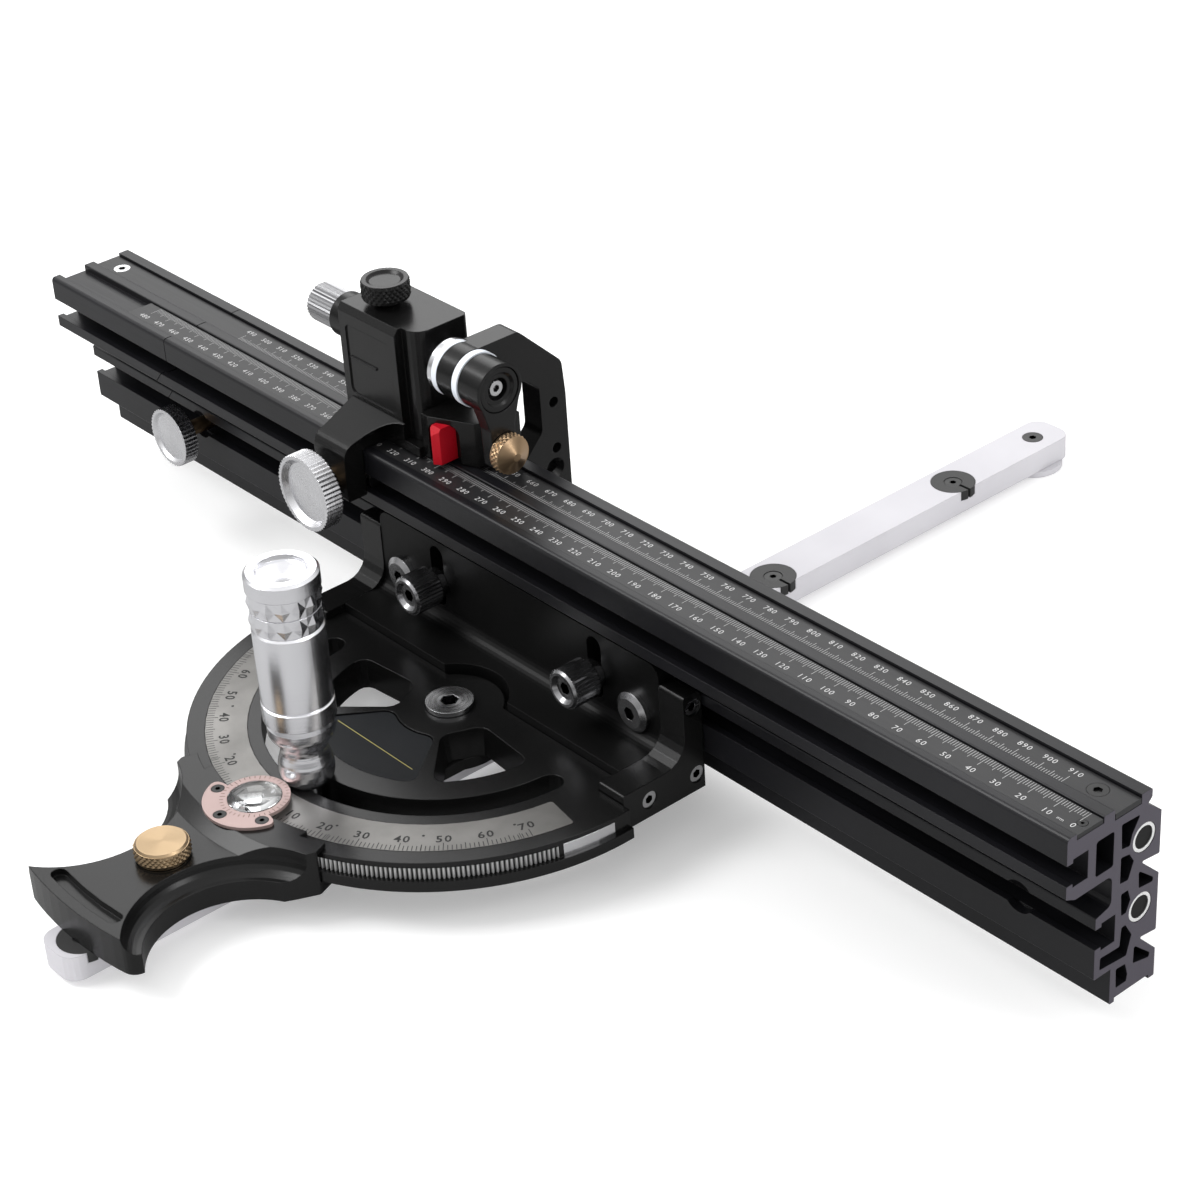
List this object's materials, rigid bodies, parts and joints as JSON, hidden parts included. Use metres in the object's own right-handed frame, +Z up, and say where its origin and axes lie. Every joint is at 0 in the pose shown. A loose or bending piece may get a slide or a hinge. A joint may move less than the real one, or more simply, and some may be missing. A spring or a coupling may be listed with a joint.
{
  "type": "mitre gauge",
  "caption": "Mitre gauge: slotted-table bar with a pivoting protractor head, sprung index pawl, tall telescoping T-slot fence and a sliding flip stop with fine adjustment.",
  "frame": {"origin": "where the pivot axis meets the top of the mitre bar, which is the table surface", "axes": "+X along the fence towards its zero end, +Y along the bar away from the handle, +Z up"},
  "size_m": [0.5415, 0.477, 0.146],
  "materials": {
    "bright_aluminium": "bright",
    "dark_nylon": "satin",
    "black_steel": "satin",
    "black_casting": "black satin anodised",
    "steel": "satin",
    "copper_plate": "satin rose copper",
    "lens_glass": "clear",
    "brass": "turned",
    "polished": "polished",
    "scale_metal": "brushed",
    "slate_plate": "matt",
    "violet_anodised": "violet-grey satin anodised",
    "dark_plug": "matt",
    "red_pointer": "gloss",
    "white_washer": "satin"
  },
  "bodies": {
    "base": {"mitre_bar": "bright_aluminium", "expansion_discs": "dark_nylon", "disc_screws": "black_steel", "bar_end_screw": "black_steel", "retaining_disc": "dark_nylon", "index_arm": "black_casting", "arm_screws": "steel", "pivot_screw": "steel", "eyepiece_plate": "copper_plate", "eyepiece_screws": "black_steel", "lens": "lens_glass", "clamp_stud": "steel"},
    "pawl": {"index_knob": "brass", "index_pawl": "steel"},
    "handle": {"clamp_handle": "polished"},
    "head": {"protractor_plate": "black_casting", "scale_band": "scale_metal", "badge_plate": "slate_plate", "index_ring": "steel", "rim_patches": "steel", "head_bracket": "black_casting", "plate_screws": "steel", "end_cheeks": "black_casting", "cheek_screws": "steel", "bracket_screws": "black_steel", "t_nuts": "steel"},
    "left_thumb_screw": {"thumb_screw_left": "polished"},
    "right_thumb_screw": {"thumb_screw_right": "polished"},
    "fence": {"fence_rail": "violet_anodised", "front_scale": "violet_anodised", "scale_screw": "black_steel"},
    "extension_lock": {"lock_knob": "polished", "lock_bolt": "brass"},
    "extension": {"extension_rail": "violet_anodised", "core_bar": "violet_anodised", "core_screws": "steel", "core_end_screw": "black_steel", "guide_rods": "steel", "rod_plugs": "dark_plug"},
    "stop": {"stop_saddle": "black_casting", "stop_tower": "black_casting", "pointer": "red_pointer", "stop_nut": "steel"},
    "stop_clamp": {"stop_knob": "polished", "stop_bolt": "brass"},
    "shaft_lock": {"top_knob": "black_casting"},
    "fine_shaft": {"micro_shaft": "steel", "thrust_ring": "steel", "shaft_washers": "white_washer", "end_cap": "black_casting", "end_screw": "steel"},
    "fine_knob": {"micro_knob": "polished"},
    "rear_flip": {"rear_arm": "black_casting"},
    "front_flip": {"front_arm": "black_casting"},
    "leg_screw": {"arm_thumbscrew": "brass"}
  },
  "joints": [
    {"name": "head_swivel", "type": "hinge", "parent": "base", "child": "head", "pos_m": [0, 0, 0], "axis": [0, 0, 1], "range_deg": [-70, 70]},
    {"name": "pawl_slide", "type": "slide", "parent": "base", "child": "pawl", "axis": [0, -1, 0], "range_m": [0, 0.004], "stiffness_N_per_m": 600, "springref_m": -0.003},
    {"name": "handle_turn", "type": "hinge", "parent": "base", "child": "handle", "pos_m": [0, -0.061, 0.0153], "axis": [0, 0, 1], "continuous": true},
    {"name": "left_thumb_turn", "type": "hinge", "parent": "head", "child": "left_thumb_screw", "pos_m": [-0.043, 0.016, 0.0331], "axis": [0, 1, 0], "continuous": true},
    {"name": "right_thumb_turn", "type": "hinge", "parent": "head", "child": "right_thumb_screw", "pos_m": [0.043, 0.016, 0.0331], "axis": [0, 1, 0], "continuous": true},
    {"name": "fence_slide", "type": "slide", "parent": "head", "child": "fence", "axis": [1, 0, 0], "range_m": [-0.08, 0.1]},
    {"name": "extension_lock_turn", "type": "hinge", "parent": "fence", "child": "extension_lock", "pos_m": [-0.206, 0.024, 0.0331], "axis": [0, 1, 0], "continuous": true},
    {"name": "extension_slide", "type": "slide", "parent": "fence", "child": "extension", "axis": [-1, 0, 0], "range_m": [0, 0.42]},
    {"name": "stop_slide", "type": "slide", "parent": "fence", "child": "stop", "axis": [1, 0, 0], "range_m": [-0.09, 0.25]},
    {"name": "stop_clamp_turn", "type": "hinge", "parent": "stop", "child": "stop_clamp", "pos_m": [-0.0845, 0.005, 0.0637], "axis": [0, 1, 0], "continuous": true},
    {"name": "shaft_lock_turn", "type": "hinge", "parent": "stop", "child": "shaft_lock", "pos_m": [-0.0827, 0.049, 0.1272], "axis": [0, 0, 1], "continuous": true},
    {"name": "fine_slide", "type": "slide", "parent": "stop", "child": "fine_shaft", "axis": [1, 0, 0], "range_m": [-0.0025, 0.0025]},
    {"name": "fine_turn", "type": "hinge", "parent": "stop", "child": "fine_knob", "pos_m": [-0.124, 0.049, 0.1115], "axis": [1, 0, 0], "range_deg": [-900, 900]},
    {"name": "rear_flip_turn", "type": "hinge", "parent": "fine_shaft", "child": "rear_flip", "pos_m": [-0.0393, 0.049, 0.1115], "axis": [1, 0, 0], "range_deg": [0, 110]},
    {"name": "front_flip_turn", "type": "hinge", "parent": "fine_shaft", "child": "front_flip", "pos_m": [-0.026, 0.049, 0.1115], "axis": [1, 0, 0], "range_deg": [-180, 0]},
    {"name": "leg_screw_turn", "type": "hinge", "parent": "front_flip", "child": "leg_screw", "pos_m": [-0.021, 0.049, 0.0876], "axis": [1, 0, 0], "continuous": true}
  ],
  "couplings": [
    {"joint": "fine_turn", "follows": "fine_slide", "rad_per_m": 6283}
  ]
}
